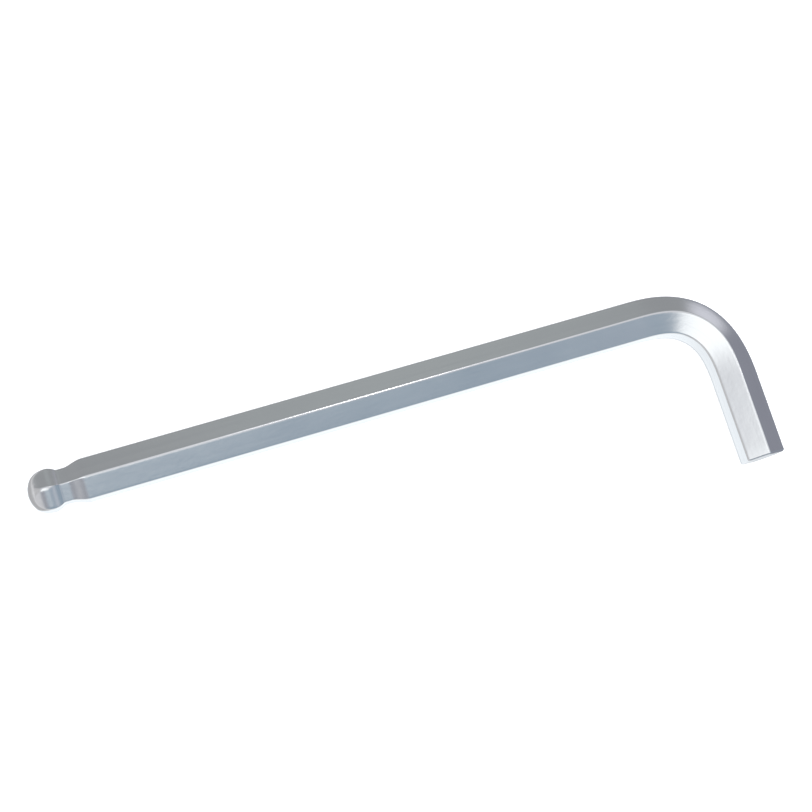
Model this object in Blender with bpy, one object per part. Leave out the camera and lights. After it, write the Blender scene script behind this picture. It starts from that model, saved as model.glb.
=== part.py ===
"""Hex key with a ball end: one bar of hexagonal steel, bent once and plated.

The bar is drawn to a hexagon with softly rounded corners and bent round a former until its two arms
stand square to each other. The long arm ends in a ball: its six flats are ground inwards to a waist
and then bulge again, so that the tip still turns a screw when it is held at a slant. Its nose is
turned to a dome. The short arm is cut off square and its edge is rounded over.

The key lies flat on a bench. The long arm runs along X with its ball end at -X, the short arm points
to -Y, and Z is up. One corner of the hexagon is lowest along both arms, so a flat faces straight out
of the bend and another straight into it. The origin is on the bench, in the middle of the key's box.
Everything is in metres.
"""

import math

import bmesh
import bpy
from mathutils import Matrix, Vector

# The bar
ACROSS_FLATS = 0.010          # the size of key, measured over two opposite flats
CORNER_RADIUS = 0.00065       # the rounding that drawing leaves on the bar's six corners

# The bend and the arms
OVERALL_LENGTH = 0.180        # from the tip of the ball to the outer flat of the short arm
OVERALL_REACH = 0.047         # from the end of the short arm to the outer flat of the long arm
BEND_RADIUS = 0.0178          # of the bar's centre line
BEND_ANGLE = math.radians(90)
END_ROUNDING = 0.0006         # of the short arm's cut edge

# The ball end, with distances measured from its tip along the arm
NOSE_RADIUS = 0.0054          # the dome that the nose is turned to, and the limit of the ball's corners
BALL_FLATS = 0.0099           # across the ball's flats where it is widest
BALL_WIDEST = 0.00483
BALL_FRONT_RADIUS = 0.0071    # how each flat curves from the widest place towards the tip
BALL_BACK_RADIUS = 0.00465    # and from there back into the waist
WAIST_FLATS = 0.0080          # across the flats of the waist
SHOULDER_START = 0.0093
SHOULDER_END = 0.0136
GROUND_CORNER_RADIUS = 0.00025    # the crisper corner between two ground flats

# How finely the surfaces are cut into faces
FLAT_SEGMENTS = 4
CORNER_SEGMENTS = 4          # an even count keeps a point on each corner's crown
NOSE_RINGS = 7
BALL_RINGS = 12
SHOULDER_RINGS = 9
BEND_RINGS = 24
END_RINGS = 3

# The plating: bright nickel with a satin sheen
PLATING_COLOUR = (0.61, 0.63, 0.66, 1.0)
PLATING_ROUGHNESS = 0.27

SIXTH_TURN = math.radians(60)
HALF_FLATS = ACROSS_FLATS / 2


def clear_objects():
    """Remove whatever objects the scene holds."""
    for obj in list(bpy.data.objects):
        bpy.data.objects.remove(obj, do_unlink=True)


def corner_distance(half_flats, corner_radius):
    """Distance from the bar's centre line to the crown of a rounded corner."""
    return (half_flats - corner_radius) / math.cos(SIXTH_TURN / 2) + corner_radius


def ease(low, high, value):
    """0 up to low, 1 from high on, and an S-shaped rise between them."""
    part = min(max((value - low) / (high - low), 0.0), 1.0)
    return part * part * (3 - 2 * part)


def arc_drop(radius, distance):
    """How far an arc of the given radius has fallen at a distance from its highest point."""
    return radius - math.sqrt(radius * radius - distance * distance)


def half_flats_at(from_tip):
    """Half the width across flats: ball, waist, shoulder, and then the full bar."""
    behind_widest = from_tip - BALL_WIDEST
    waist = WAIST_FLATS / 2
    if behind_widest < 0:
        return BALL_FLATS / 2 - arc_drop(BALL_FRONT_RADIUS, -behind_widest)
    if behind_widest < BALL_BACK_RADIUS:
        ball = BALL_FLATS / 2 - arc_drop(BALL_BACK_RADIUS, behind_widest)
        if ball > waist:
            return ball
    return waist + (HALF_FLATS - waist) * ease(SHOULDER_START, SHOULDER_END, from_tip)


def corner_radius_at(from_tip):
    """Ground flats meet at a crisp corner, and the drawn bar keeps its soft one."""
    drawn = ease((SHOULDER_START + SHOULDER_END) / 2, SHOULDER_END, from_tip)
    return GROUND_CORNER_RADIUS + (CORNER_RADIUS - GROUND_CORNER_RADIUS) * drawn


def turned_radius_at(from_tip):
    """The round limit that turning leaves: the dome of the nose, then a plain cylinder."""
    before_centre = max(NOSE_RADIUS - from_tip, 0.0)
    if from_tip < SHOULDER_START:
        return math.sqrt(NOSE_RADIUS ** 2 - before_centre ** 2)
    return ACROSS_FLATS


def hexagon(half_flats, corner_radius):
    """Points round a hexagon with rounded corners, as (outward, up), with a corner at the top."""
    to_arc_centre = (half_flats - corner_radius) / math.cos(SIXTH_TURN / 2)
    points = []
    for side in range(6):
        corner = side * SIXTH_TURN
        centre = Vector((math.sin(corner), math.cos(corner))) * to_arc_centre
        for step in range(CORNER_SEGMENTS + 1):
            angle = corner + SIXTH_TURN * (step / CORNER_SEGMENTS - 0.5)
            points.append(centre + Vector((math.sin(angle), math.cos(angle))) * corner_radius)
        following = corner + SIXTH_TURN
        next_centre = Vector((math.sin(following), math.cos(following))) * to_arc_centre
        facing = corner + SIXTH_TURN / 2
        next_start = next_centre + Vector((math.sin(facing), math.cos(facing))) * corner_radius
        flat_start = points[-1]
        for step in range(1, FLAT_SEGMENTS):
            points.append(flat_start.lerp(next_start, step / FLAT_SEGMENTS))
    return points


def section_at(from_tip, trim=0.0):
    """The bar's section at a distance from the tip, trimmed all round by a given depth."""
    half_flats = half_flats_at(from_tip) - trim
    limit = turned_radius_at(from_tip)
    points = []
    for point in hexagon(half_flats, corner_radius_at(from_tip)):
        if point.length > limit:
            point = point * (limit / point.length)
        points.append(point)
    return points


def bar_frame(from_tip):
    """Where the centre line is at a distance from the tip, and which way is out of the bend there."""
    axis_height = corner_distance(HALF_FLATS, CORNER_RADIUS)
    long_axis_y = OVERALL_REACH / 2 - HALF_FLATS
    short_axis_x = OVERALL_LENGTH / 2 - HALF_FLATS
    bend_centre = Vector((short_axis_x - BEND_RADIUS, long_axis_y - BEND_RADIUS, axis_height))
    straight = long_arm_length()
    if from_tip <= straight:
        return Vector((from_tip - OVERALL_LENGTH / 2, long_axis_y, axis_height)), Vector((0, 1, 0))
    turned = min((from_tip - straight) / BEND_RADIUS, BEND_ANGLE)
    outward = Matrix.Rotation(-turned, 3, "Z") @ Vector((0, 1, 0))
    along = Matrix.Rotation(-turned, 3, "Z") @ Vector((1, 0, 0))
    past_bend = max(from_tip - straight - BEND_RADIUS * BEND_ANGLE, 0.0)
    return bend_centre + outward * BEND_RADIUS + along * past_bend, outward


def long_arm_length():
    """Straight length of the long arm, from the tip to where the bend starts."""
    return OVERALL_LENGTH - HALF_FLATS - BEND_RADIUS


def bar_length():
    """Length of the whole bar along its centre line."""
    short_arm = OVERALL_REACH - HALF_FLATS - BEND_RADIUS
    return long_arm_length() + BEND_RADIUS * BEND_ANGLE + short_arm


def place_section(from_tip, trim=0.0):
    """The section's points in space."""
    middle, outward = bar_frame(from_tip)
    up = Vector((0, 0, 1))
    return [middle + outward * point.x + up * point.y for point in section_at(from_tip, trim)]


def extrude_ring(bm, ring, places):
    """Extrude a closed ring of vertices to new places, and return the new ring."""
    edges = [bm.edges.get((ring[i - 1], ring[i])) for i in range(len(ring))]
    extruded = bmesh.ops.extrude_edge_only(bm, edges=edges)["geom"]
    fresh = {item for item in extruded if isinstance(item, bmesh.types.BMVert)}
    new_ring = []
    for vert in ring:
        partner = next(e.other_vert(vert) for e in vert.link_edges if e.other_vert(vert) in fresh)
        new_ring.append(partner)
    for vert, place in zip(new_ring, places):
        vert.co = place
    return new_ring


def ball_stations():
    """Distances from the tip at which the ball end has a ring, from the nose to the shoulder."""
    nose = [NOSE_RADIUS * (1 - math.cos(math.radians(9 * step))) for step in range(1, NOSE_RINGS)]
    waist_start = BALL_WIDEST + math.sqrt(
        BALL_BACK_RADIUS ** 2 - (BALL_BACK_RADIUS - (BALL_FLATS - WAIST_FLATS) / 2) ** 2)
    reach = waist_start - nose[-1]
    ball = [nose[-1] + reach * step / BALL_RINGS for step in range(1, BALL_RINGS + 1)]
    rise = SHOULDER_END - SHOULDER_START
    shoulder = [SHOULDER_START + rise * step / SHOULDER_RINGS for step in range(SHOULDER_RINGS + 1)]
    return nose + ball + shoulder


def bend_stations():
    """Distances from the tip at which the bend has a ring."""
    arc = BEND_RADIUS * BEND_ANGLE
    return [long_arm_length() + arc * step / BEND_RINGS for step in range(BEND_RINGS + 1)]


def build_bar():
    """Extrude the section from the tip of the ball, round the bend, to the end of the short arm."""
    bm = bmesh.new()
    stations = ball_stations() + bend_stations()
    ring = [bm.verts.new(place) for place in place_section(stations[0])]
    for index in range(len(ring)):
        bm.edges.new((ring[index - 1], ring[index]))
    nose = list(ring)
    for station in stations[1:]:
        ring = extrude_ring(bm, ring, place_section(station))
    for step in range(END_RINGS + 1):
        angle = math.radians(90) * step / END_RINGS
        station = bar_length() - END_ROUNDING * (1 - math.sin(angle))
        ring = extrude_ring(bm, ring, place_section(station, END_ROUNDING * (1 - math.cos(angle))))
    bm.faces.new(ring)
    tip_ring = extrude_ring(bm, nose, [vert.co for vert in nose])
    bmesh.ops.pointmerge(bm, verts=tip_ring, merge_co=bar_frame(0.0)[0])
    bmesh.ops.recalc_face_normals(bm, faces=bm.faces)
    return bm


def plating():
    """Bright nickel plate with a satin sheen."""
    material = bpy.data.materials.new("bright_plating")
    material.use_nodes = True
    shader = material.node_tree.nodes["Principled BSDF"]
    shader.inputs["Base Color"].default_value = PLATING_COLOUR
    shader.inputs["Metallic"].default_value = 1.0
    shader.inputs["Roughness"].default_value = PLATING_ROUGHNESS
    return material


def build_key():
    """The key: one closed solid, smooth round the bend and the ball, crisp at its edges."""
    mesh = bpy.data.meshes.new("hex_key")
    bm = build_bar()
    bm.to_mesh(mesh)
    bm.free()
    mesh.materials.append(plating())
    mesh.shade_smooth()
    mesh.set_sharp_from_angle(angle=math.radians(22))
    key = bpy.data.objects.new("hex_key", mesh)
    bpy.context.scene.collection.objects.link(key)
    return key


clear_objects()
build_key()
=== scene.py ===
# %% [markdown]
# # A ball-end hex key in bright plated steel
#
# A hex key is one bar of hexagonal steel. It is drawn to size, bent once, ground to a ball at the
# end of its long arm, rounded over at the end of its short arm, and plated. There is nothing to
# assemble, so the whole lesson is about two things: a clean swept surface with true edges, and a
# metal finish that shows where the bar was drawn, bent and ground.
#
# The imported part gives the frame. It has the right size and place but only a few faces, so a finer
# surface takes its place here and the imported one stays in the scene, hidden.

# %% Load the frame and read the key's box
import math

import bpy
import numpy as np
from mathutils import Matrix, Vector


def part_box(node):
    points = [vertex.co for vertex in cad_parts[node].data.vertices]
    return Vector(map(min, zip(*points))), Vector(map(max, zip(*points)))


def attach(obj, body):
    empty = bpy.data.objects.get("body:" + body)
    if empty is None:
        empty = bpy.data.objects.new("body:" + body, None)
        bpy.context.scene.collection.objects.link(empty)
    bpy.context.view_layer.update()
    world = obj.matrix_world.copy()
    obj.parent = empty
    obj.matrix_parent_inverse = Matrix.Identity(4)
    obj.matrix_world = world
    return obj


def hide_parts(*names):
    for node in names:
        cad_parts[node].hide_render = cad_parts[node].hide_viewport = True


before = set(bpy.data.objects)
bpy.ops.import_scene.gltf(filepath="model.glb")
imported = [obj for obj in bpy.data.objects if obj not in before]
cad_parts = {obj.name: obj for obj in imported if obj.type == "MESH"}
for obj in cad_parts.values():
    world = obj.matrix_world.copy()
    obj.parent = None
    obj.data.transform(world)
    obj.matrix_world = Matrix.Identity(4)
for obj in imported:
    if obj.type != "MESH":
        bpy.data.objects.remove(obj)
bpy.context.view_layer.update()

BOX_LOW, BOX_HIGH = (np.array(corner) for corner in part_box("hex_key"))
LENGTH, REACH, HEIGHT = BOX_HIGH - BOX_LOW
print(f"key: {LENGTH * 1000:.1f} mm long, {REACH * 1000:.1f} mm reach, {HEIGHT * 1000:.2f} mm high")

# %% [markdown]
# ## The bar
#
# The bar lies with a corner up, so the height of its box is the distance over two opposite rounded
# corners. The width across flats follows from it: a rounded corner's crown is (half the flats minus
# the rounding) / cos 30 degrees + the rounding away from the centre line.
#
# All along the bar the section keeps its six sides and only changes size, so three curves describe
# the whole form: half the width across flats, the rounding of the corners, and the round limit that
# turning leaves on the nose. Each is a plain function of the distance from the tip, and each works
# on a whole array of distances at once.
#
# The bend is given by its radius, by how far it eases into the straight arms, and by how far the
# outer wall is drawn in, since steel on the outside of a bend has to stretch and grows thin.

# %% Driving sizes
MM = 0.001
CORNER_ROUNDING = 0.55 * MM
HALF_CORNERS = HEIGHT / 2
COS_30 = math.cos(math.radians(30))
HALF_FLATS = (HALF_CORNERS - CORNER_ROUNDING) * COS_30 + CORNER_ROUNDING
BEND_RADIUS = 15.2 * MM
BEND_EASE = 6.0 * MM
DRAWN_IN = 0.45 * MM
END_ROUNDING = 0.6 * MM

NOSE_RADIUS = 5.6 * MM
NOSE_DEPTH = 5.0 * MM
BALL_HALF_FLATS = 4.95 * MM
BALL_WIDEST = 4.83 * MM
BALL_FRONT_RADIUS = 6.0 * MM
BALL_BACK_RADIUS = 4.65 * MM
WAIST_HALF_FLATS = 4.0 * MM
SHOULDER_START = 9.3 * MM
SHOULDER_END = 14.0 * MM
GROUND_CORNER_ROUNDING = 0.25 * MM
WAIST_FILLET = 0.25 * MM
DOME_CREASE = 0.12 * MM
print(f"across flats {2 * HALF_FLATS / MM:.2f} mm")

# %% [markdown]
# The ball's flats are ground on an arc, so the hexagon swells and shrinks as it goes: a flatter arc
# in front of the widest place, a rounder one behind it, and then the waist. The waist lets the key
# tilt in a screw's socket. A corner that is ground stays crisp, and one that was drawn through a
# die is rounded, so the rounding grows over the shoulder too.

# %% The three curves along the bar


def ease(low, high, value):
    """S-shaped rise from 0 at low to 1 at high: 3p^2 - 2p^3 of the part p of the way."""
    part = np.clip((value - low) / (high - low), 0.0, 1.0)
    return part * part * (3 - 2 * part)


def soft_min(a, b, width):
    """The smaller of a and b, with the crease between them rounded over about the given width."""
    overlap = np.maximum(width - np.abs(a - b), 0.0)
    return np.minimum(a, b) - overlap * overlap / (4 * width)


def soft_max(a, b, width):
    """The larger of a and b, with the crease filled over about the given width."""
    return -soft_min(-a, -b, width)


def half_flats_along(from_tip):
    """Ball, waist, shoulder and full bar: two arcs that meet at the ball's widest place, the waist
    where the back arc has fallen to it, and an S-shaped rise to the full bar."""
    off = from_tip - BALL_WIDEST
    radius = np.where(off < 0, BALL_FRONT_RADIUS, BALL_BACK_RADIUS)
    inside = np.sqrt(np.maximum(radius ** 2 - off ** 2, 0.0))
    ball = BALL_HALF_FLATS - (radius - inside)
    rise = ease(SHOULDER_START, SHOULDER_END, from_tip)
    bar = WAIST_HALF_FLATS + (HALF_FLATS - WAIST_HALF_FLATS) * rise
    waisted = soft_max(ball, bar, WAIST_FILLET)
    return np.where(off < 0, ball, np.where(from_tip < SHOULDER_END, waisted, HALF_FLATS))


def corner_rounding_along(from_tip):
    """Crisp where the flats are ground, soft where the bar is as drawn."""
    drawn = ease((SHOULDER_START + SHOULDER_END) / 2, SHOULDER_END, from_tip)
    return GROUND_CORNER_ROUNDING + (CORNER_ROUNDING - GROUND_CORNER_ROUNDING) * drawn


def turned_limit_along(from_tip):
    """The dome of the nose, half an ellipse: radius x the root of 1 - (1 - depth share)^2. Behind
    it the full radius goes on to the shoulder, and from there on nothing limits the bar."""
    before_centre = np.maximum(1 - from_tip / NOSE_DEPTH, 0.0)
    dome = NOSE_RADIUS * np.sqrt(np.maximum(1 - before_centre ** 2, 0.0))
    return np.where(from_tip < SHOULDER_START, dome, 2 * HALF_FLATS)


for where in (0.5 * BALL_WIDEST, BALL_WIDEST, SHOULDER_START, SHOULDER_END):
    flats = 2 * half_flats_along(np.array([where]))[0]
    print(f"{where / MM:.1f} mm from the tip: {flats / MM:.2f} mm across flats")

# %% [markdown]
# ## The hexagon as one formula
#
# A rounded hexagon is six straight sides and six arcs. Every point on it is the same sum: a point D
# of the sharp inner hexagon times its size, plus the rounding times a unit normal N. On an arc, D
# stays on the corner and N turns. On a side, D slides from corner to corner and N stays. So D and N
# are worked out once, and any section is (half flats - rounding) / cos 30 x D + rounding x N.

# %% Points round the section
ARC_STEPS = 10
SIDE_STEPS = 16


def hexagon_parts():
    """D and N for every point round the hexagon, the first corner below, as (outward, up) pairs,
    and a mark that is 1 on the crown of a corner and 0 on the sides."""
    per_side = ARC_STEPS + SIDE_STEPS
    side = np.repeat(np.arange(6), per_side)
    step = np.tile(np.arange(per_side), 6)
    sixth = math.radians(60)
    along_arc = np.clip(step / ARC_STEPS, 0.0, 1.0)
    along_side = np.clip((step - ARC_STEPS) / SIDE_STEPS, 0.0, 1.0)
    turn = math.pi + side * sixth + sixth * (along_arc - 0.5)
    corner = math.pi + side * sixth
    normal = np.stack([np.sin(turn), np.cos(turn)], axis=1)
    here = np.stack([np.sin(corner), np.cos(corner)], axis=1)
    following = np.stack([np.sin(corner + sixth), np.cos(corner + sixth)], axis=1)
    inner = here + (following - here) * along_side[:, None]
    crown = np.clip(1.0 - np.abs(2 * along_arc - 1.0), 0.0, 1.0)
    return inner, normal, crown


INNER, NORMAL, CROWN = hexagon_parts()
print(f"{len(INNER)} points round the section")

# %% [markdown]
# ## The centre line and the stations on it
#
# The centre line is two straight runs joined by a quarter circle. Rings of points stand on it,
# close together where the form changes (the ball, the shoulder, the bend and the rounded end) and
# far apart where the bar is straight. The nose's rings follow the angle round its dome, so they
# crowd towards the tip just as a globe's parallels do.

# %% Rings along the bar
LONG_STRAIGHT = LENGTH - HALF_FLATS - BEND_RADIUS
BEND_LENGTH = BEND_RADIUS * math.pi / 2
SHORT_STRAIGHT = REACH - HALF_FLATS - BEND_RADIUS
BAR_LENGTH = LONG_STRAIGHT + BEND_LENGTH + SHORT_STRAIGHT
BEND_START = LONG_STRAIGHT - BEND_EASE
BEND_END = LONG_STRAIGHT + BEND_LENGTH + BEND_EASE

NOSE_RINGS, BALL_RINGS, SHOULDER_RINGS = 36, 44, 48
STRAIGHT_RINGS, BEND_RINGS, END_RINGS = 24, 96, 10
DOME_TURN = math.radians(60)


def stations():
    """Distances from the tip and how much the section is trimmed there, as two arrays. The dome's
    rings are at depth x (1 - cos of the angle), and the rounded end's are at the length -
    rounding x (1 - sin), trimmed by rounding x (1 - cos)."""
    dome_angle = np.linspace(0, DOME_TURN, NOSE_RINGS + 1)[1:]
    nose = NOSE_DEPTH * (1 - np.cos(dome_angle))
    ball = np.linspace(nose[-1], SHOULDER_START, BALL_RINGS + 1)[1:]
    shoulder = np.linspace(SHOULDER_START, SHOULDER_END, SHOULDER_RINGS + 1)[1:]
    long_arm = np.linspace(SHOULDER_END, BEND_START, STRAIGHT_RINGS + 1)[1:]
    bend = np.linspace(BEND_START, BEND_END, BEND_RINGS + 1)[1:]
    short_arm = np.linspace(bend[-1], BAR_LENGTH - END_ROUNDING, STRAIGHT_RINGS // 3)[1:-1]
    edge_angle = np.linspace(0, math.pi / 2, END_RINGS + 1)
    edge = BAR_LENGTH - END_ROUNDING * (1 - np.sin(edge_angle))
    plain = np.concatenate([nose, ball, shoulder, long_arm, bend, short_arm])
    trim = np.concatenate([np.zeros(len(plain)), END_ROUNDING * (1 - np.cos(edge_angle))])
    return np.concatenate([plain, edge]), trim


FROM_TIP, TRIM = stations()
print(f"{len(FROM_TIP)} rings along {BAR_LENGTH / MM:.1f} mm of bar")

# %% [markdown]
# A bar under the bender's roller starts to curve a little before the roller's edge. So the exact
# line, with its sudden start of curvature, is averaged over a short window. On mirror-bright flats
# that is easy to see: without it the reflection breaks off sharply where the bend begins.

# %% The centre line
EASE_SAMPLES = 9


def sharp_centre_line(from_tip):
    """Places on the centre line and the direction out of the bend: straight, a quarter turn about
    the bend's centre, straight again."""
    axis_y = BOX_HIGH[1] - HALF_FLATS
    axis_x = BOX_HIGH[0] - HALF_FLATS
    turn = np.clip((from_tip - LONG_STRAIGHT) / BEND_RADIUS, 0.0, math.pi / 2)
    outward = np.stack([np.sin(turn), np.cos(turn), np.zeros_like(turn)], axis=1)
    along = np.stack([np.cos(turn), -np.sin(turn), np.zeros_like(turn)], axis=1)
    bend_centre = np.array([axis_x - BEND_RADIUS, axis_y - BEND_RADIUS, BOX_LOW[2] + HALF_CORNERS])
    before = np.minimum(from_tip - LONG_STRAIGHT, 0.0)
    after = np.maximum(from_tip - LONG_STRAIGHT - BEND_LENGTH, 0.0)
    return bend_centre + outward * BEND_RADIUS + along * (before + after)[:, None], outward


def centre_line(from_tip):
    """The same line with its bend eased in and out: its mean over a short window either way. The
    window closes at the ends of the bar, which so keep their places."""
    reach = np.minimum(np.minimum(from_tip, BAR_LENGTH - from_tip), BEND_EASE)
    shares = np.linspace(-1, 1, EASE_SAMPLES)
    samples = [sharp_centre_line(from_tip + share * reach) for share in shares]
    middle = np.mean([place for place, _ in samples], axis=0)
    outward = np.mean([away for _, away in samples], axis=0)
    return middle, outward / np.linalg.norm(outward, axis=1)[:, None]


# %% [markdown]
# ## The swept surface
#
# Now the three parts meet: a section for every ring, made smaller where the curves say so, and laid
# square across the centre line. In the bend the outer half of the section is drawn in, most at the
# outermost flat and not at all on the centre line. That tilts the outer faces a few degrees there,
# so they catch the light in another place than the straight arms do.

# %% Sweep the section along the line
FULLY_BENT = (0.35, 0.65)


def drawn_in_along(from_tip):
    """How far the outer wall is drawn in: an S-shaped rise, level over the middle of the bend, and
    an S-shaped fall."""
    rise = ease(BEND_START, LONG_STRAIGHT + FULLY_BENT[0] * BEND_LENGTH, from_tip)
    fall = ease(LONG_STRAIGHT + FULLY_BENT[1] * BEND_LENGTH, BEND_END, from_tip)
    return DRAWN_IN * rise * (1 - fall)


def bar_surface(from_tip, trim):
    """Grid of points: centre line + outward x section's first number + up x its second. The
    section is the hexagon formula, pulled in to the turned limit along its own radius. Its outward
    number then loses the drawn-in distance x (outward / half the flats)^3."""
    rounding = corner_rounding_along(from_tip)
    half_flats = half_flats_along(from_tip) - trim
    size = (half_flats - rounding) / COS_30
    section = size[:, None, None] * INNER + rounding[:, None, None] * NORMAL
    radius = np.linalg.norm(section, axis=2)
    limit = turned_limit_along(from_tip)[:, None]
    section = section * (soft_min(radius, limit, DOME_CREASE) / radius)[:, :, None]
    middle, outward = centre_line(from_tip)
    outward_part, up_part = section[:, :, :1], section[:, :, 1:]
    outside = np.maximum(outward_part / HALF_FLATS, 0.0)
    outward_part = outward_part - drawn_in_along(from_tip)[:, None, None] * outside ** 3
    up = np.array([0.0, 0.0, 1.0])
    return middle[:, None, :] + outward_part * outward[:, None, :] + up_part * up


SURFACE = bar_surface(FROM_TIP, TRIM)
print(f"{SURFACE.shape[0]} rings of {SURFACE.shape[1]} points")

# %% [markdown]
# ## From a grid to a closed mesh
#
# The grid wraps round the bar, and each end closes on a pole: the very tip of the nose, and the
# middle of the cut face. The cut face gets a few rings of its own first, so that its shading isn't
# one fan of long thin triangles. Neighbouring rings make quads by index arithmetic on whole arrays.
#
# A UV map in metres goes with it: U runs along the bar and V round it. Draw lines follow the bar
# round the bend, and only a map that follows it too can carry them.

# %% Build the key's mesh
CAP_RINGS = 6


def cap_rings(last_ring, centre):
    """Rings of the cut face, shrunk in equal steps towards its centre."""
    share = (1 - np.arange(1, CAP_RINGS) / CAP_RINGS)[:, None, None]
    return centre + (last_ring - centre) * share


def grid_faces(rings, around):
    """Quads between neighbouring rings, wound so that they face outwards."""
    ring, step = np.meshgrid(np.arange(rings - 1), np.arange(around), indexing="ij")
    following = (step + 1) % around
    quads = np.stack([ring * around + step, (ring + 1) * around + step,
                      (ring + 1) * around + following, ring * around + following], axis=2)
    return quads.reshape(-1, 4)


def pole_faces(first, pole, around, turned):
    """Triangles from one ring to a pole vertex, wound the other way at the far end."""
    step = np.arange(around)
    following = (step + 1) % around
    near, far = (following, step) if turned else (step, following)
    return np.stack([first + near, first + far, np.full(around, pole)], axis=1)


def key_mesh():
    """One closed mesh: the swept grid, the cut face's rings, and a pole at either end."""
    around = SURFACE.shape[1]
    tip = centre_line(np.array([0.0]))[0][0]
    cut_centre = centre_line(np.array([BAR_LENGTH]))[0][0]
    rings = np.concatenate([SURFACE, cap_rings(SURFACE[-1], cut_centre)])
    points = np.concatenate([rings.reshape(-1, 3), [tip, cut_centre]])
    count = rings.shape[0] * around
    quads = grid_faces(rings.shape[0], around)
    nose = pole_faces(0, count, around, turned=False)
    cut = pole_faces(count - around, count + 1, around, turned=True)
    mesh = bpy.data.meshes.new("plated_key")
    mesh.from_pydata(points.tolist(), [], quads.tolist() + nose.tolist() + cut.tolist())
    return mesh, points, around, rings.shape[0]


KEY_MESH, POINTS, AROUND, RINGS = key_mesh()
print(f"{len(POINTS)} points, {len(KEY_MESH.polygons)} faces")

# %% [markdown]
# Three marks tell the finish where it is: 1 on the ground ball and shoulder, 1 on the cut face, and
# 1 on the crown of each corner, with soft edges where the real change is soft.

# %% Lay the UV map and the marks along the bar


def along_and_round():
    """U, the distance along the bar, and V, the distance round it, on every corner of every face.
    V is the point's number round the section times a step. Where a face closes the ring, its low
    numbers go up by a whole turn, so that no face spans the map."""
    loop_point = np.empty(len(KEY_MESH.loops), dtype=np.int32)
    KEY_MESH.loops.foreach_get("vertex_index", loop_point)
    totals = np.empty(len(KEY_MESH.polygons), dtype=np.int32)
    KEY_MESH.polygons.foreach_get("loop_total", totals)
    starts = np.cumsum(totals) - totals
    number = loop_point % AROUND
    closes = np.repeat(np.maximum.reduceat(number, starts) == AROUND - 1, totals)
    number = np.where(closes & (number < AROUND // 2), number + AROUND, number)
    step = 2 * math.pi * HALF_FLATS / AROUND
    along = np.append(RING_DISTANCE, BAR_LENGTH)[np.minimum(loop_point // AROUND, RINGS)]
    along = np.where(loop_point == len(POINTS) - 2, 0.0, along)
    return np.stack([along, number * step], axis=1)


RING_DISTANCE = np.concatenate([FROM_TIP, np.full(RINGS - len(FROM_TIP), BAR_LENGTH)])
uv_layer = KEY_MESH.uv_layers.new(name="along_and_round")
uv_layer.data.foreach_set("uv", along_and_round().ravel())


def add_mark(name, values):
    """A float attribute with one value for each point of the mesh."""
    KEY_MESH.attributes.new(name, "FLOAT", "POINT").data.foreach_set("value", values)


GROUND_FADE = (SHOULDER_END - 0.8 * MM, SHOULDER_END + 0.3 * MM)
ground = 1 - ease(*GROUND_FADE, RING_DISTANCE)
cut = (np.arange(RINGS) >= len(FROM_TIP) - END_RINGS // 2).astype(float)
add_mark("ground", np.append(np.repeat(ground, AROUND), [1.0, 0.0]))
add_mark("cut_face", np.append(np.repeat(cut, AROUND), [0.0, 1.0]))
add_mark("crown", np.append(np.tile(CROWN, RINGS), [0.0, 0.0]))
print(f"marks: {', '.join(mark.name for mark in KEY_MESH.attributes if mark.domain == 'POINT')}")

# %% [markdown]
# ## Shader maths as plain expressions
#
# A finish is arithmetic on patterns, and arithmetic reads best as arithmetic. The small class below
# wraps a socket, so that `1 - mask` or `lines * 0.5 + pits` adds the Math nodes by itself. Every
# other node comes from one method that takes the node's type, its settings and its inputs.

# %% The socket wrapper


class Wire:
    """One output socket of a node tree, with the operators that the finishes use."""

    def __init__(self, tree, socket):
        self.tree = tree
        self.socket = socket

    def node(self, kind, settings=None, output=0, **inputs):
        """Add a node, apply its settings first, then link or set the named or numbered inputs."""
        made = self.tree.nodes.new(kind)
        for name, value in (settings or {}).items():
            setattr(made, name, value)
        for name, value in inputs.items():
            key = int(name[1:]) if name[0] == "_" else name.replace("_", " ")
            target = made.inputs[key]
            if isinstance(value, Wire):
                self.tree.links.new(value.socket, target)
            else:
                target.default_value = value
        return Wire(self.tree, made.outputs[output])

    def maths(self, operation, first, second=0.0):
        """A Math node on two values."""
        return self.node("ShaderNodeMath", {"operation": operation}, _0=first, _1=second)

    def __add__(self, other):
        return self.maths("ADD", self, other)

    def __mul__(self, other):
        return self.maths("MULTIPLY", self, other)

    def __sub__(self, other):
        return self.maths("SUBTRACT", self, other)

    def __rsub__(self, other):
        return self.maths("SUBTRACT", other, self)

    def __truediv__(self, other):
        return self.maths("DIVIDE", self, other)

    def __gt__(self, other):
        return self.maths("GREATER_THAN", self, other)

    def between(self, low, high):
        """0 at low, 1 at high and an S-shaped rise between, for any pair of numbers."""
        return self.node("ShaderNodeMapRange", {"interpolation_type": "SMOOTHSTEP"},
                         Value=self, From_Min=low, From_Max=high)

    def blend(self, first, second):
        """A colour mix from first to second, by this value."""
        return self.node("ShaderNodeMix", {"data_type": "RGBA"}, 2, _0=self, _6=first, _7=second)
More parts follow.
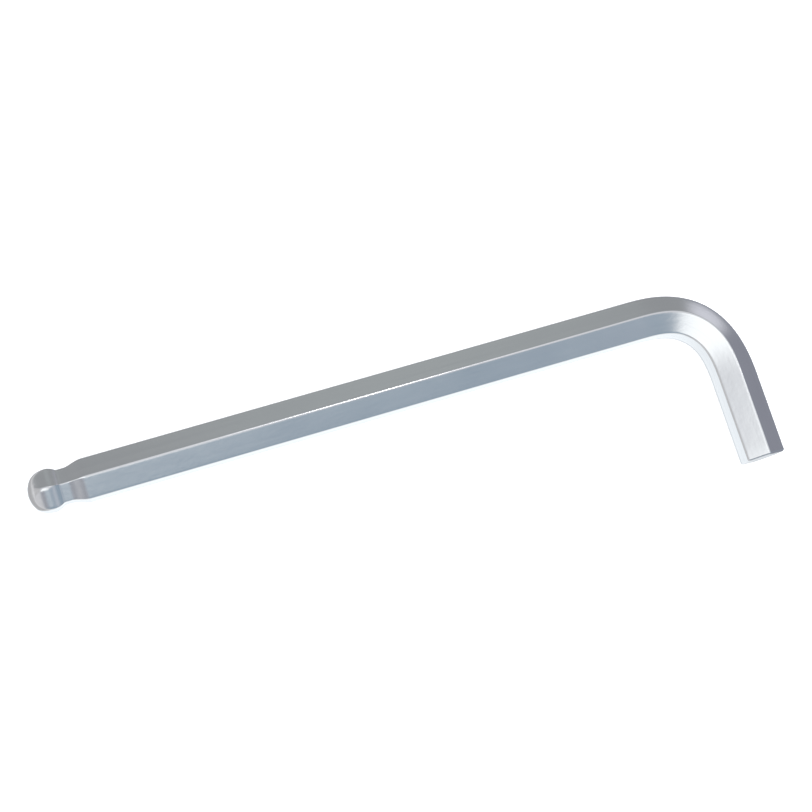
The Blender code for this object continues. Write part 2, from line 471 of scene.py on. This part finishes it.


# %% [markdown]
# ## The plating
#
# Drawing a bar through a die leaves fine lines along it. The plating fills them only partly, so the
# flats have a satin sheen that runs lengthwise. Over that lie a faint mottle where the plating grew
# unevenly, slow waves in the flats, and a few pits. The corners are rubbed a little brighter. On
# the ball the lines run across the flats, as a grinding wheel leaves them, and both the ball and
# the cut face of the short arm are a little rougher. The underside's colour is painted darker, a
# painted reflection of the shadowed gap between the bar and the table.
#
# Colour hardly changes on plated steel. What the eye reads is roughness and tiny slopes, so most of
# the work goes into the roughness and one bump. The bump's distance is a thousandth of a
# millimetre, so every height that goes into it is simply in microns.

# %% Material with its patterns
NICKEL = (0.78, 0.785, 0.795, 1.0)
NICKEL_SHADE = (0.74, 0.745, 0.76, 1.0)
# Painted shade: the darker base colour of the bar's lowest millimetre, standing in for the
# reflection of the gap under it.
NICKEL_PAINTED_GAP_SHADE = (0.55, 0.555, 0.57, 1.0)
NICKEL_RUBBED = (0.84, 0.845, 0.85, 1.0)
MICRON = 0.001 * MM
PAINTED_SHADE_HEIGHTS = (3.1 * MM, 3.9 * MM)
PIT_SHARE = 0.015


def plated_steel():
    """Metal whose roughness and slopes follow the bar."""
    material = bpy.data.materials.new("bright_plating")
    material.use_nodes = True
    tree = material.node_tree
    shader = tree.nodes["Principled BSDF"]
    start = Wire(tree, None)
    place = start.node("ShaderNodeTexCoord", output=3)
    bar_map = start.node("ShaderNodeUVMap", {"uv_map": "along_and_round"})
    ground_mark = start.node("ShaderNodeAttribute", {"attribute_name": "ground"}, 2)
    cut_mark = start.node("ShaderNodeAttribute", {"attribute_name": "cut_face"}, 2)
    crown_mark = start.node("ShaderNodeAttribute", {"attribute_name": "crown"}, 2)

    def lines(along, across):
        """Noise stretched by giving the two directions of the bar's map their own counts a metre."""
        stretched = start.node("ShaderNodeMapping", Vector=bar_map, Scale=(along, across, 1.0))
        return start.node("ShaderNodeTexNoise", {"noise_dimensions": "2D"},
                          Vector=stretched, Scale=1.0, Detail=3.0, Roughness=0.6)

    def cloud(a_metre, detail):
        """Even noise with a count a metre."""
        return start.node("ShaderNodeTexNoise", Vector=place, Scale=a_metre, Detail=detail)

    draw_lines = lines(50, 9000)
    wide_lines = lines(14, 1500)
    wheel_lines = lines(9000, 300)
    mottle = cloud(800.0, 3.0)
    clouds = cloud(75.0, 4.0)
    waves = cloud(22.0, 1.0)
    cells = start.node("ShaderNodeTexVoronoi", Vector=place, Scale=420.0)
    cell_colour = start.node("ShaderNodeTexVoronoi", output="Color", Vector=place, Scale=420.0)
    chosen = start.node("ShaderNodeSeparateColor", Color=cell_colour) > 1 - PIT_SHARE
    pits = (1 - cells.between(0.05, 0.16)) * chosen

    fine = draw_lines * (1 - ground_mark) + wheel_lines * ground_mark
    fine_microns = fine * 0.8 + wide_lines * 1.6 - pits * 5
    slow_microns = mottle * 11.0 + clouds * 20.0 + waves * 50.0
    bump = start.node("ShaderNodeBump", Strength=1.0, Distance=MICRON,
                      Height=fine_microns + slow_microns)

    by_place = ground_mark * 0.05 + cut_mark * 0.16 - crown_mark * 0.02
    rough = by_place + fine * 0.05 + clouds * 0.06 + pits * 0.2 + 0.13
    tone = (clouds * 0.6 + wide_lines * 0.6).between(0.35, 0.85).blend(NICKEL_SHADE, NICKEL)
    height = start.node("ShaderNodeSeparateXYZ", output=2, Vector=place)
    # Painted shade: the base colour turns darker below a height of 3.1 to 3.9 mm, a painted
    # reflection of the shadowed gap under the bar.
    tone = height.between(*PAINTED_SHADE_HEIGHTS).blend(NICKEL_PAINTED_GAP_SHADE, tone)
    rubbed = (crown_mark * 0.5).blend(tone, NICKEL_RUBBED)
    tree.links.new(rubbed.socket, shader.inputs["Base Color"])
    tree.links.new(rough.socket, shader.inputs["Roughness"])
    tree.links.new(bump.socket, shader.inputs["Normal"])
    shader.inputs["Metallic"].default_value = 1.0
    return material


KEY_MESH.materials.append(plated_steel())
KEY_MESH.shade_smooth()
key = bpy.data.objects.new("plated_key", KEY_MESH)
bpy.context.scene.collection.objects.link(key)
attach(key, "root")
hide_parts("hex_key")
print(f"{key.name}: {len(key.active_material.node_tree.nodes)} nodes in {key.active_material.name}")

# %% [markdown]
# ## Floor and light
#
# Bright metal shows its surroundings more than itself, so the light is planned as a room that the
# key can look at. It lies on a white table lit a little from below, as small bright goods often
# are, which keeps the shadows faint. The table is left out of the metal's reflections, because the
# room's lower half, which is easier to shape, stands in for it.

# %% Table
TABLE_HALF = 8.0
TABLE_GLOW = 0.5


def lit_table():
    """A wide flat square just under the key, white and faintly glowing."""
    corners = np.array([(-1, -1, 0), (1, -1, 0), (1, 1, 0), (-1, 1, 0)]) * TABLE_HALF
    mesh = bpy.data.meshes.new("lit_table")
    mesh.from_pydata((corners + [0, 0, BOX_LOW[2]]).tolist(), [], [(0, 1, 2, 3)])
    material = bpy.data.materials.new("lit_table")
    material.use_nodes = True
    shader = material.node_tree.nodes["Principled BSDF"]
    shader.inputs["Base Color"].default_value = (0.9, 0.9, 0.9, 1.0)
    shader.inputs["Roughness"].default_value = 1.0
    shader.inputs["Specular IOR Level"].default_value = 0.0
    shader.inputs["Emission Color"].default_value = (1.0, 1.0, 1.0, 1.0)
    shader.inputs["Emission Strength"].default_value = TABLE_GLOW
    mesh.materials.append(material)
    table = bpy.data.objects.new("lit_table", mesh)
    bpy.context.scene.collection.objects.link(table)
    table.visible_glossy = False


lit_table()
print(f"table: {2 * TABLE_HALF:.0f} m wide, at a height of {BOX_LOW[2]:.3f} m")

# %% [markdown]
# ## The room
#
# The room is the world's light, a function of direction only. The walls are a quiet grey with soft
# patches on them. A patch is a cone: the dot product of the direction and the cone's axis, through
# an S-shaped rise. Overhead is a pale ceiling with one softbox. The softbox's edge on the -Y side
# falls just above what the long arm's near flat mirrors, so that flat stays a calm blue-grey, and
# the same flat turns white round the bend, where it swings into the softbox.

# %% Room
WALL = (0.355, 0.37, 0.38, 1.0)
COOL_WALL = (0.335, 0.42, 0.50, 1.0)
LEFT_WALL = (0.60, 0.60, 0.61, 1.0)
DIM_WALL = (0.30, 0.31, 0.36, 1.0)
CEILING = (0.73, 0.745, 0.78, 1.0)
SOFTBOX = (1.38, 1.42, 1.43, 1.0)
PALE_FLOOR = (0.95, 0.98, 1.0, 1.0)
GREY_FLOOR = (0.52, 0.52, 0.53, 1.0)
SKIRTING = (0.86, 0.86, 0.87, 1.0)
WHITE_BELOW = (1.14, 1.20, 1.24, 1.0)
PAINTED_CONTACT_SHADOW = (0.12, 0.12, 0.13, 1.0)


def cone(direction, axis, inner, outer):
    """1 within the inner angle of the axis, 0 beyond the outer, in degrees."""
    axis = Vector(axis).normalized()
    closeness = direction.node("ShaderNodeVectorMath", {"operation": "DOT_PRODUCT"}, 1,
                               _0=direction, _1=tuple(axis))
    return closeness.between(math.cos(math.radians(outer)), math.cos(math.radians(inner)))


PATCHES_ON_THE_WALLS = [
    # what it is, the cone's axis, its inner and outer angle, its colour
    ("cool wall at -Y", (0.45, -0.75, 0.50), 25, 80, COOL_WALL),
    ("light wall at -X", (-0.95, 0.15, 0.35), 15, 38, LEFT_WALL),
    ("dim wall at +X", (0.98, 0.10, 0.13), 6, 28, DIM_WALL),
    ("screen at +Y", (0.20, 0.91, 0.34), 2, 12, (0.42, 0.45, 0.455, 1.0)),
    ("window before the nose", (-0.80, -0.55, 0.28), 12, 26, (0.74, 0.74, 0.76, 1.0)),
    ("screen behind the ball", (0.52, -0.68, 0.51), 0, 15, (0.56, 0.60, 0.67, 1.0)),
    ("dark gap by the window", (-0.40, -0.73, 0.55), 4, 11, (0.33, 0.33, 0.37, 1.0)),
    ("window beyond the bend", (0.82, 0.55, 0.14), 4, 17, (0.80, 0.81, 0.88, 1.0)),
]


def walls(direction):
    """The walls' colour: neutral, then each patch laid over those before it."""
    colour = WALL
    for _, axis, inner, outer, patch in PATCHES_ON_THE_WALLS:
        colour = cone(direction, axis, inner, outer).blend(colour, patch)
    return colour


def overhead(colour, x, y, z):
    """The pale ceiling, and on it the softbox: a shape with soft edges in x / z and y / z, which is
    where a line of sight meets a level sheet. Its four edges, from -X to +X and -Y to +Y, lean a
    little, so that each passes between two of the key's faces."""
    colour = z.between(0.63, 0.74).blend(colour, CEILING)
    across, along = x / z, y / z
    left = (across - along * 0.35).between(-0.89, -0.70) * across.between(-1.0, -0.84)
    right = 1 - (across + along * 0.3).between(-0.35, -0.05)
    near = (along - across * across * 0.6).between(-1.16, -0.96)
    far = 1 - along.between(0.11, 0.165)
    softbox = left * right * near * far
    return (softbox * z.between(0.3, 0.4)).blend(colour, SOFTBOX)


def below(colour, direction, x, down):
    """What the metal sees instead of the table: pale all round, grey at the -X side with a bright
    skirting above it, dim at the +X end, white under the key, and a dark painted contact shadow
    where it meets the table."""
    colour = down.between(0.0, 0.25).blend(colour, PALE_FLOOR)
    grey_side = down.between(0.05, 0.35) * (0 - x).between(0.15, 0.45)
    colour = grey_side.blend(colour, GREY_FLOOR)
    dim_end = down.between(-0.05, 0.1) * x.between(0.25, 0.5) * (1 - down.between(0.8, 0.95))
    colour = dim_end.blend(colour, DIM_WALL)
    skirting = down.between(-0.06, 0.03) * (1 - down.between(0.12, 0.38))
    colour = (skirting * (0 - x).between(-0.1, 0.4)).blend(colour, SKIRTING)
    colour = down.between(0.84, 0.92).blend(colour, WHITE_BELOW)
    # Painted shadow: a dark patch below, standing in for the key's contact shadow on the table.
    return cone(direction, (0.34, 0.14, -0.93), 4, 10).blend(colour, PAINTED_CONTACT_SHADOW)


def room():
    """The whole room as world light: the walls, the ceiling over them, the floor under them."""
    world = bpy.data.worlds.new("room")
    world.use_nodes = True
    tree = world.node_tree
    direction = Wire(tree, None).node("ShaderNodeTexCoord", output=0)
    split = direction.node("ShaderNodeSeparateXYZ", Vector=direction).socket.node
    x, y, z = (Wire(tree, out) for out in split.outputs)
    colour = below(overhead(walls(direction), x, y, z), direction, x, 0 - z)
    tree.links.new(colour.socket, tree.nodes["Background"].inputs["Color"])
    bpy.context.scene.world = world
    return len(tree.nodes)


print(f"room: {len(PATCHES_ON_THE_WALLS)} patches on the walls, {room()} nodes")

# %% [markdown]
# ## The lamps
#
# Two lamps finish the light. One lights the table evenly and leaves the metal alone. The other is
# small and bright, and only the crown of one corner mirrors it, as a single glint on the long arm.

# %% Lamps
FILL_FROM = (-0.2, -0.3, 0.9)
FILL_STRENGTH = 2.1
FILL_SPREAD = 90

GLINT_FROM_TIP = 82 * MM
GLINT_DIRECTION = (0.174, 0.164, 0.971)
GLINT_DISTANCE = 2.0
GLINT_WIDTH = 0.08
GLINT_BRIGHTNESS = 110.0


def overhead_fill(direction, strength, spread):
    """A very wide sun: even light for the table, left out of the metal's reflections."""
    light = bpy.data.lights.new("overhead_fill", "SUN")
    light.energy = strength
    light.angle = math.radians(spread)
    lamp = bpy.data.objects.new("overhead_fill", light)
    lamp.rotation_euler = Vector(direction).to_track_quat("Z", "Y").to_euler()
    lamp.visible_glossy = False
    bpy.context.scene.collection.objects.link(lamp)


def glint_lamp(seen_from, direction, distance, width, brightness):
    """A small round lamp that the crown of the long arm mirrors as one glint. An area light of
    power P and area A has the brightness P / (pi A)."""
    light = bpy.data.lights.new("glint_lamp", "AREA")
    light.shape = "DISK"
    light.size = width
    light.energy = brightness * math.pi * math.pi * width ** 2 / 4
    lamp = bpy.data.objects.new("glint_lamp", light)
    way = Vector(direction).normalized()
    lamp.location = Vector(seen_from) + way * distance
    lamp.rotation_euler = way.to_track_quat("Z", "Y").to_euler()
    lamp.visible_camera = False
    bpy.context.scene.collection.objects.link(lamp)


overhead_fill(FILL_FROM, FILL_STRENGTH, FILL_SPREAD)
GLINT_PLACE = (BOX_LOW[0] + GLINT_FROM_TIP, BOX_HIGH[1] - HALF_FLATS, BOX_HIGH[2])
glint_lamp(GLINT_PLACE, GLINT_DIRECTION, GLINT_DISTANCE, GLINT_WIDTH, GLINT_BRIGHTNESS)
print(f"the glint sits {GLINT_FROM_TIP / MM:.0f} mm from the tip")

# %% [markdown]
# ## Camera
#
# The camera looks down on the key, tilted a little, with a long lens so that the arms keep their
# proportions. It is placed from a target on the key, an azimuth, an elevation and a roll.

# %% Camera
CAMERA_TARGET = np.array([2.4, 14.3, 5.7]) * MM
CAMERA_DISTANCE = 412.8 * MM
CAMERA_AZIMUTH = math.radians(-52.3)
CAMERA_ELEVATION = math.radians(75.7)
CAMERA_ROLL = math.radians(17.9)
LENS = 75.0
SENSOR = 36.0


def make_camera():
    """Look at the target from an azimuth and an elevation, with a roll about the line of sight."""
    flat = math.cos(CAMERA_ELEVATION)
    back = Vector((math.sin(CAMERA_AZIMUTH) * flat, -math.cos(CAMERA_AZIMUTH) * flat,
                   math.sin(CAMERA_ELEVATION)))
    level = Vector((0, 1, 0)).cross(back).normalized()
    upright = back.cross(level)
    right = level * math.cos(CAMERA_ROLL) - upright * math.sin(CAMERA_ROLL)
    up = back.cross(right)
    data = bpy.data.cameras.new("camera")
    data.lens = LENS
    data.sensor_width = SENSOR
    data.clip_start = 0.01
    camera = bpy.data.objects.new("camera", data)
    place = Matrix((right, up, back)).transposed().to_4x4()
    place.translation = Vector(CAMERA_TARGET) + back * CAMERA_DISTANCE
    camera.matrix_world = place
    bpy.context.scene.collection.objects.link(camera)
    bpy.context.scene.camera = camera


make_camera()
print(f"camera: {LENS:.0f} mm lens, {CAMERA_DISTANCE / MM:.0f} mm from the key")
bpy.context.scene.view_settings.view_transform = "Standard"

# %% [markdown]
# ## Finish
#
# Last, the view layer is updated, so that every object's place is current.

# %% Update the scene
bpy.context.view_layer.update()
